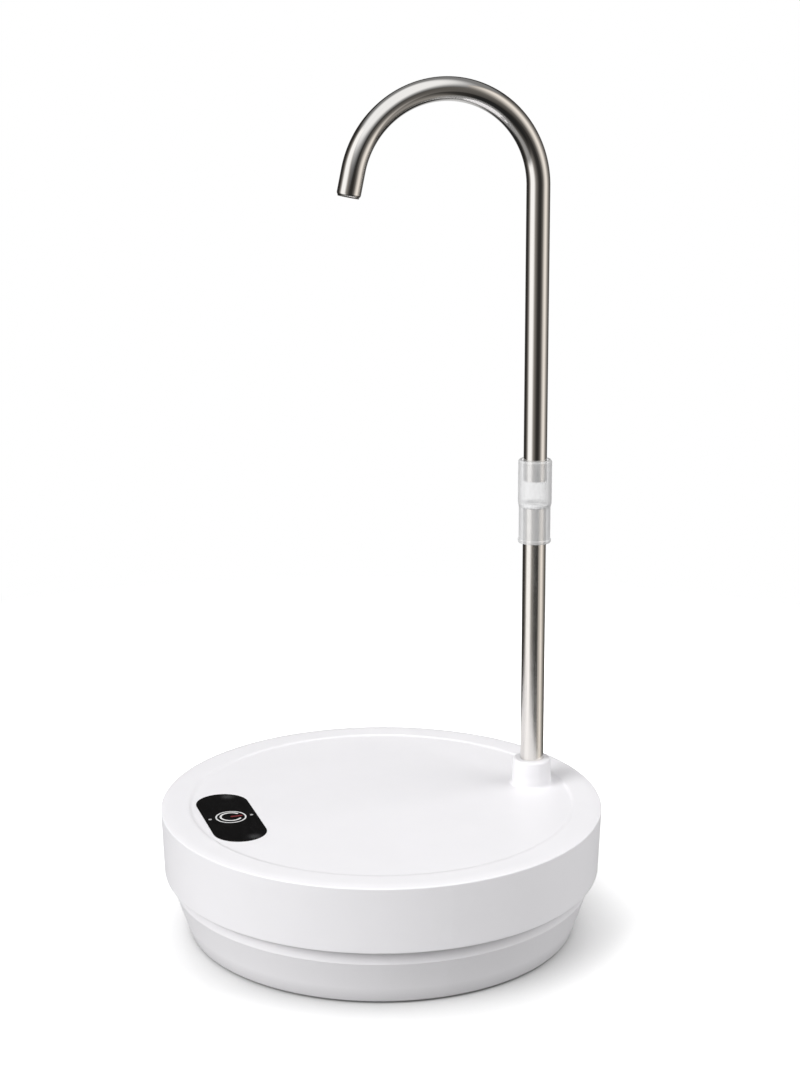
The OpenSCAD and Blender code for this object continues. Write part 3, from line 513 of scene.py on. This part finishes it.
# Milky silicone: radius and depth of the skin along the tube and its share of the cloudiness,
# and how cloudy and how bright the rest is, seen from the front and edge on
SKIN_R, SKIN_DEPTH, SKIN_SHARE = TUBE_R + 0.4 * MM, 0.2 * MM, 0.28
SILICONE_DARK, SILICONE_BRIGHT = (0.76, 0.761, 0.765), (0.81, 0.811, 0.815)
FRONT_CLOUD, EDGE_CLOUD = 0.54, 0.92
FRONT_TONE, EDGE_TONE = 1.0, 0.76
SILICONE_IOR = 1.41


def milky_silicone():
    """Cloudy see-through silicone, denser where it is seen edge on, with a clear skin along the tube."""
    material, tree, shader, place = start_material("clear_silicone")
    cloud = noise(tree, place, scale=300)
    edge = node(tree, "ShaderNodeLayerWeight", {"Blend": 0.35}).outputs["Facing"]
    inside = tree.nodes.new("ShaderNodeNewGeometry").outputs["Backfacing"]
    aside = vector_node(tree, "DISTANCE", vector_node(tree, "MULTIPLY", place, FLAT), (0, TUBE_Y, 0))
    skin = spread(tree, aside, SKIN_R, SKIN_R + SKIN_DEPTH, SKIN_SHARE, 1)
    dense = math_node(tree, "MULTIPLY", spread(tree, edge, 0.10, 0.35, FRONT_CLOUD, EDGE_CLOUD), skin)
    connect(tree, shader,
            Base_Color=vector_node(tree, "MULTIPLY", cloudy(tree, cloud, SILICONE_DARK, SILICONE_BRIGHT),
                                   spread(tree, edge, 0.12, 0.40, FRONT_TONE, EDGE_TONE)),
            Roughness=uneven(tree, cloud, 0.30, 0.42),
            Alpha=math_node(tree, "MULTIPLY", dense, math_node(tree, "SUBTRACT", 1.0, inside)),
            Normal=grain(tree, place, scale=700, depth=0.03 * MM, strength=0.06))
    shader.inputs["IOR"].default_value = SILICONE_IOR
    return material


# Black panel: the painted highlights' places from its middle, their reach, colour and added roughness,
# and how the wiping marks are drawn out and turned
PAINTED_HIGHLIGHT_SPOTS = ((-18.7 * MM, 3.2 * MM), (18.7 * MM, 3.6 * MM))
PAINTED_HIGHLIGHT_REACH, PAINTED_HIGHLIGHT_COLOUR, PAINTED_HIGHLIGHT_ROUGH = 3.5 * MM, (0.04, 0.04, 0.041, 1), 0.2
WIPE_STRETCH, WIPE_TURN = (1, 2.5, 1), (0, 0, 0.5)
BLACK_DARK, BLACK_BRIGHT = (0.003, 0.003, 0.0035), (0.006, 0.006, 0.0065)


def black_gloss():
    """Polished black acrylic with faint wiping marks and two painted highlights near its ends, lighter and
    rougher spots.
    """
    material, tree, shader, place = start_material("black_gloss")
    wiped = node(tree, "ShaderNodeMapping", {
        "Vector": place, "Scale": WIPE_STRETCH, "Rotation": WIPE_TURN}).outputs[0]
    marks = noise(tree, wiped, scale=240, detail=4, roughness=0.6)
    painted_highlight = 0.0
    # Painted highlights: lighter spots near the panel's two ends
    for x, y in PAINTED_HIGHLIGHT_SPOTS:
        spot = Vector((PANEL_MIDDLE.x + x, PANEL_MIDDLE.y + y, panel_high.z))
        away = vector_node(tree, "DISTANCE", place, spot)
        painted_highlight = math_node(tree, "MAXIMUM", painted_highlight, spread(tree, away, 0, PAINTED_HIGHLIGHT_REACH, 1, 0, smooth=True))
    plain = ramp(tree, marks, [(0.3, BLACK_DARK), (0.75, BLACK_BRIGHT)])
    connect(tree, shader,
            Base_Color=mix_colour(tree, painted_highlight, plain, PAINTED_HIGHLIGHT_COLOUR),
            Roughness=math_node(tree, "ADD", spread(tree, marks, 0.35, 0.75, 0.10, 0.22),
                                math_node(tree, "MULTIPLY", painted_highlight, PAINTED_HIGHLIGHT_ROUGH)),
            Normal=grain(tree, place, scale=500, depth=0.01 * MM, strength=0.1, detail=1))
    return material


# Moulded materials: colour, share that it varies by, range of roughness, grain's scale and its depth in mm
MOULDED = {
    "foot_rubber": ((0.10, 0.10, 0.105), 0.2, (0.7, 0.85), 1500, 0.08),
    "seal_rubber": ((0.03, 0.03, 0.032), 0.3, (0.55, 0.7), 1500, 0.05),
    "flap_rubber": ((0.42, 0.05, 0.05), 0.2, (0.5, 0.65), 1200, 0.04),
    "ring_white": ((0.86, 0.86, 0.86), 0.03, (0.3, 0.4), 1800, 0.01),
    "lens_grey": ((0.50, 0.50, 0.50), 0.1, (0.3, 0.4), 1800, 0.01),
    "board_green": ((0.02, 0.16, 0.06), 0.35, (0.3, 0.45), 900, 0.03),
    "switch_grey": ((0.13, 0.13, 0.14), 0.2, (0.45, 0.6), 1400, 0.03),
    "inner_plastic": ((0.78, 0.78, 0.75), 0.05, (0.45, 0.6), 1400, 0.03),
    "black_plastic": ((0.035, 0.035, 0.037), 0.2, (0.4, 0.55), 1400, 0.03),
    "cell_wrap": ((0.05, 0.16, 0.42), 0.15, (0.25, 0.4), 300, 0.05),
    "magnet_grey": ((0.10, 0.10, 0.105), 0.25, (0.5, 0.7), 2600, 0.06),
    "mark_white": ((0.80, 0.80, 0.80), 0.05, (0.4, 0.5), 1800, 0.005),
    "mark_red": ((0.20, 0.025, 0.03), 0.15, (0.4, 0.5), 1800, 0.005),
    "stop_silicone": ((0.88, 0.885, 0.89), 0.03, (0.3, 0.4), 900, 0.02),
}
# Metals: colour, share that it varies by, range of roughness, texture's scale and, if drawn out, its stretch
METALS = {
    "screw_steel": ((0.66, 0.66, 0.67), 0.06, (0.28, 0.4), 900),
    "socket_steel": ((0.72, 0.72, 0.73), 0.06, (0.22, 0.34), 900),
    "contact_brass": ((0.80, 0.62, 0.26), 0.06, (0.25, 0.38), 900),
    "bush_brass": ((0.66, 0.44, 0.20), 0.2, (0.35, 0.5), 1800),
    "rotor_steel": ((0.40, 0.37, 0.35), 0.3, (0.35, 0.5), 700, (1, 30, 1)),
    "cut_steel": ((0.22, 0.21, 0.20), 0.2, (0.3, 0.42), 1500),
}
# Polished tubes: darkest and brightest colour, range of roughness and smear
POLISHED = {
    "polished_steel": ((0.80, 0.785, 0.765), (0.88, 0.865, 0.845), (0.04, 0.08), 0.0),
    "smeared_steel": ((0.86, 0.835, 0.80), (0.94, 0.915, 0.88), (0.13, 0.17), 1.0),
}
# White shells: colour, reach of the painted shade in corners, darkest painted shade, and if other nodes make
# no corners
SHELLS = {
    "white_shell": ((0.872, 0.862, 0.883), 12 * MM, 0.80, True),
    # The lower shell's copy is darker, with painted shade under the cover's overhang and near the floor
    "white_shell_low_painted_shade": ((0.850, 0.840, 0.859), 6 * MM, 0.72, False),
}
# Nodes that have a look of their own in place of their slot's
OWN_LOOKS = {
    "lower_tube": "smeared_steel",
    "lower_shell": "white_shell_low_painted_shade",
    "light_ring": "lit_ring",
    "indicator_lenses": "lens_grey",
}

MATERIALS = {"black_gloss": black_gloss(), "clear_silicone": milky_silicone(), "lit_ring": lit_ring()}
for make, looks in ((moulded, MOULDED), (metal, METALS), (polished_steel, POLISHED), (white_shell, SHELLS)):
    for look, values in looks.items():
        MATERIALS[look] = make(look, *values)

for part in frame["record"]["subparts"]:
    mesh = NODES[part["node"]].data
    mesh.materials.clear()
    mesh.materials.append(MATERIALS[OWN_LOOKS.get(part["node"], part["material_slot"])])


# Making a piece of the scene from a drawn mesh

def new_piece(name, drawn, look):
    """The drawn mesh as an object with its faces turned outward."""
    bmesh.ops.recalc_face_normals(drawn, faces=drawn.faces)
    mesh = bpy.data.meshes.new(name)
    drawn.to_mesh(mesh)
    drawn.free()
    mesh.materials.append(MATERIALS[look])
    made = bpy.data.objects.new(name, mesh)
    SCENE.collection.objects.link(made)
    return made


# Power mark printed on the button: an open ring and a red bar

MARK_R, MARK_STROKE = 3.45 * MM, 0.65 * MM
MARK_OPENING, MARK_STEPS = math.radians(38), 48
BAR_NEAR, BAR_FAR, BAR_WIDTH = 0.3 * MM, 3.6 * MM, 0.85 * MM
PRINT_SUNK, PRINT_PROUD = 0.02 * MM, 0.04 * MM
# Degrees round a stroke's end, from its tip back
END_TURNS = (80, 60, 40, 20)


def stroke_rows(points, half):
    """A stroke's (point, way, half width) rows, with rounded ends."""
    points = [Vector((CAP_MIDDLE.x + x, CAP_MIDDLE.y + y, cap_high.z)) for x, y in points]
    ways = [(b - a).normalized() for a, b in zip(points, points[1:])]
    ways = [ways[0]] + [(a + b).normalized() for a, b in zip(ways, ways[1:])] + [ways[-1]]
    rows = [(point, way, half) for point, way in zip(points, ways)]
    for turn in map(math.radians, reversed(END_TURNS)):
        ahead = half * math.sin(turn)
        narrow = half * math.cos(turn)
        rows.insert(0, (points[0] - ahead * ways[0], ways[0], narrow))
        rows.append((points[-1] + ahead * ways[-1], ways[-1], narrow))
    return rows


def printed_stroke(name, points, width, look):
    """A thin raised line with rounded ends along points on the cap's top."""
    drawn = bmesh.new()
    rings = []
    for point, way, reach in stroke_rows(points, width / 2):
        side = reach * UP.cross(way)
        rings.append([drawn.verts.new(point + offset) for offset in (
            side + PRINT_PROUD * UP, side - PRINT_SUNK * UP,
            -side - PRINT_SUNK * UP, -side + PRINT_PROUD * UP)])
    for near, far in zip(rings, rings[1:]):
        for i in range(4):
            j = (i + 1) % 4
            drawn.faces.new((near[i], near[j], far[j], far[i]))
    drawn.faces.new(rings[0][::-1])
    drawn.faces.new(rings[-1])
    made = new_piece(name, drawn, look)
    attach(made, "button")


mark_sweep = 2 * math.pi - 2 * MARK_OPENING
mark_turns = [MARK_OPENING + i / MARK_STEPS * mark_sweep for i in range(MARK_STEPS + 1)]
printed_stroke("power_ring", [(MARK_R * math.sin(a), MARK_R * math.cos(a)) for a in mark_turns],
               MARK_STROKE, "mark_white")
printed_stroke("power_bar", [(0, BAR_NEAR), (0, (BAR_NEAR + BAR_FAR) / 2), (0, BAR_FAR)],
               BAR_WIDTH, "mark_red")


# Round pieces, made of rings

RING_STEPS, CORNER_STEPS = 72, 3


def ringed(name, rows, look, body):
    """A closed skin through rings, each a (middle, way, radius), and from the last ring back to the first."""
    drawn = bmesh.new()
    turns = [2 * math.pi * i / RING_STEPS for i in range(RING_STEPS)]
    rings = []
    for middle, way, radius in rows:
        other = way.cross(ACROSS)
        rings.append([drawn.verts.new(middle + radius * (math.cos(a) * ACROSS + math.sin(a) * other))
                      for a in turns])
    for here, there in zip(rings, rings[1:] + rings[:1]):
        for k in range(RING_STEPS):
            n = (k + 1) % RING_STEPS
            drawn.faces.new((here[k], here[n], there[n], there[k]))
    for face in drawn.faces:
        face.smooth = True
    made = new_piece(name, drawn, look)
    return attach(made, body)


def turned(name, middle, axis, profile, look, body):
    """A closed ring about an axis, from (radius, distance along the axis) points of its section."""
    return ringed(name, [(middle + along * axis, axis, r) for r, along in profile], look, body)


def rounded(inner, outer, low, high, corner):
    """Section of a ring with rounded corners."""
    points = []
    for x, y, start in ((outer - corner, high - corner, 0), (inner + corner, high - corner, 90),
                        (inner + corner, low + corner, 180), (outer - corner, low + corner, 270)):
        for step in range(CORNER_STEPS + 1):
            angle = math.radians(start + 90 * step / CORNER_STEPS)
            points.append((x + corner * math.cos(angle), y + corner * math.sin(angle)))
    return points


# Inner stop of the sleeve, on the lower tube's end

STOP_LOW, STOP_HIGH = 0.45 * MM, 1.65 * MM
STOP_IN, STOP_OUT, STOP_CORNER = TUBE_R - 0.3 * MM, TUBE_R + 1.2 * MM, 0.2 * MM

turned("sleeve_stop", Vector((0, TUBE_Y, tube_high.z)), UP,
       rounded(STOP_IN, STOP_OUT, STOP_LOW, STOP_HIGH, STOP_CORNER), "stop_silicone", "sleeve")


# Spout with its rolled lip, and a dark bead in the lip: painted shade and dark reflection at the outlet's end

BEND_SWEEP, BEND_STEPS = math.radians(168.4), 84
TIP_LENGTH, TUBE_WALL = 8.6 * MM, 0.5 * MM
FOOT_EDGE = 0.1 * MM
LIP_LENGTH, LIP_IN, LIP_STEPS = 1.2 * MM, 0.9 * MM, 8
# Rings behind the lip: the first one's distance from the outlet and reach inward, the second one's distance
LIP_BACK, LIP_DEEPEST, LIP_ROOT = 0.36 * MM, 0.99 * MM, 1.44 * MM
# Dark bead, painted shade in the lip: its inner and outer radius, its ends and its corner
BEAD_IN, BEAD_OUT = TUBE_R - 1.1 * MM, TUBE_R - 0.405 * MM
BEAD_LOW, BEAD_HIGH, BEAD_CORNER = -0.25 * MM, 0.2 * MM, 0.2 * MM


def bend_ring(turn):
    """The middle and the way of the spout's tube at a turn round its bend."""
    way = Vector((0, -math.sin(turn), math.cos(turn)))
    return BEND_MIDDLE + BEND_R * ACROSS.cross(-way), way


bend_end, TIP_WAY = bend_ring(BEND_SWEEP)
TIP_END = bend_end + TIP_LENGTH * TIP_WAY


def lip_rows():
    """Rings round the rolled lip, from the outside of the tube to its bore."""
    rows = []
    for i in range(LIP_STEPS + 1):
        turn = math.pi / 2 * i / LIP_STEPS
        rows.append((TIP_END - LIP_LENGTH * (1 - math.sin(turn)) * TIP_WAY, TIP_WAY,
                     TUBE_R - LIP_IN * (1 - math.cos(turn))))
    rows.append((TIP_END - LIP_BACK * TIP_WAY, TIP_WAY, TUBE_R - LIP_DEEPEST))
    rows.append((TIP_END - LIP_ROOT * TIP_WAY, TIP_WAY, TUBE_R - TUBE_WALL))
    return rows


def spout_rows():
    """Rings up the outside of the spout, over its rolled lip and back down its bore."""
    foot = Vector((0, TUBE_Y, spout_low.z))
    path = [(foot, UP), (foot + FOOT_EDGE * UP, UP)]
    path += [bend_ring(BEND_SWEEP * i / BEND_STEPS) for i in range(BEND_STEPS + 1)]
    outside = [(point, way, TUBE_R) for point, way in path]
    bore = [(point, way, TUBE_R - TUBE_WALL) for point, way in reversed(path)]
    return outside + lip_rows() + bore


spout = ringed("lipped_spout", spout_rows(), "polished_steel", "spout")
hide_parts("spout")
# The dark bead paints the shade and dark reflection in the rolled lip
turned("spout_lip", TIP_END, TIP_WAY,
       rounded(BEAD_IN, BEAD_OUT, BEAD_LOW, BEAD_HIGH, BEAD_CORNER), "cut_steel", "spout")


# Return dome of the button, drawn at rest and held to the base

DOME_HEIGHT = dome_high.z - dome_low.z
DOME_FOOT = Vector(((dome_low.x + dome_high.x) / 2, (dome_low.y + dome_high.y) / 2, dome_low.z))
# Section: radius in mm and share of the height
DOME_SECTION = (
    (2.2, 0), (3.0, 0), (3.0, 0.4), (2.97, 0.7), (2.85, 0.95), (2.7, 1.0),
    (2.1, 1.0), (2.0, 0.95), (2.0, 0.8))

dome = turned("return_dome", DOME_FOOT, UP, [(r * MM, share * DOME_HEIGHT) for r, share in DOME_SECTION],
              "clear_silicone", "base")
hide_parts("button_dome")
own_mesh(dome)
